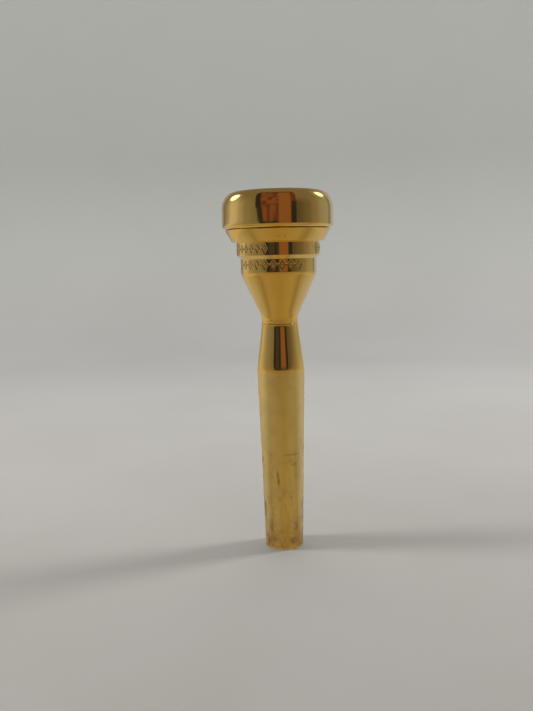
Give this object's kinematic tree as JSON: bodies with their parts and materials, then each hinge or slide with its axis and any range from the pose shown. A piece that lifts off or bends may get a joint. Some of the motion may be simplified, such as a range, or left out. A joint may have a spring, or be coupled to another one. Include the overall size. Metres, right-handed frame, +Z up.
{
  "type": "trumpet mouthpiece",
  "caption": "Gold-plated brass trumpet mouthpiece: round rim over a stepped cup, a narrow waist and a long tapered shank, with threaded rim and backbore.",
  "frame": {"origin": "centre of the shank end, the flat ring that the mouthpiece stands on", "axes": "+Z up the bore axis from the shank end to the rim; X and Y are any two directions across it, because the part is turned about Z"},
  "size_m": [0.027, 0.027, 0.0884],
  "materials": {
    "polished_gold": "polished gold plate with fine hairlines",
    "worn_gold": "gold plate, polished at the waist and dulled with light tarnish on the shank",
    "seal_rubber": "matte black nitrile"
  },
  "bodies": {
    "backbore": {"backbore": "worn_gold"},
    "backbore_seal": {"backbore_seal_ring": "seal_rubber"},
    "cup": {"cup": "polished_gold"},
    "rim_seal": {"rim_seal_ring": "seal_rubber"},
    "rim": {"rim": "polished_gold"}
  },
  "joints": [
    {"name": "cup_lift", "type": "slide", "parent": "backbore", "child": "backbore_seal", "axis": [0, 0, 1], "range_m": [0, 0.00562]},
    {"name": "cup_unscrew", "type": "hinge", "parent": "backbore_seal", "child": "cup", "pos_m": [0, 0, 0.0568], "axis": [0, 0, 1], "range_deg": [0, 2700]},
    {"name": "rim_lift", "type": "slide", "parent": "cup", "child": "rim_seal", "axis": [0, 0, 1], "range_m": [0, 0.0036]},
    {"name": "rim_unscrew", "type": "hinge", "parent": "rim_seal", "child": "rim", "pos_m": [0, 0, 0.07955], "axis": [0, 0, 1], "range_deg": [0, 1620]}
  ],
  "couplings": [
    {"joint": "cup_unscrew", "follows": "cup_lift", "rad_per_m": 8377.6},
    {"joint": "rim_unscrew", "follows": "rim_lift", "rad_per_m": 7854}
  ]
}
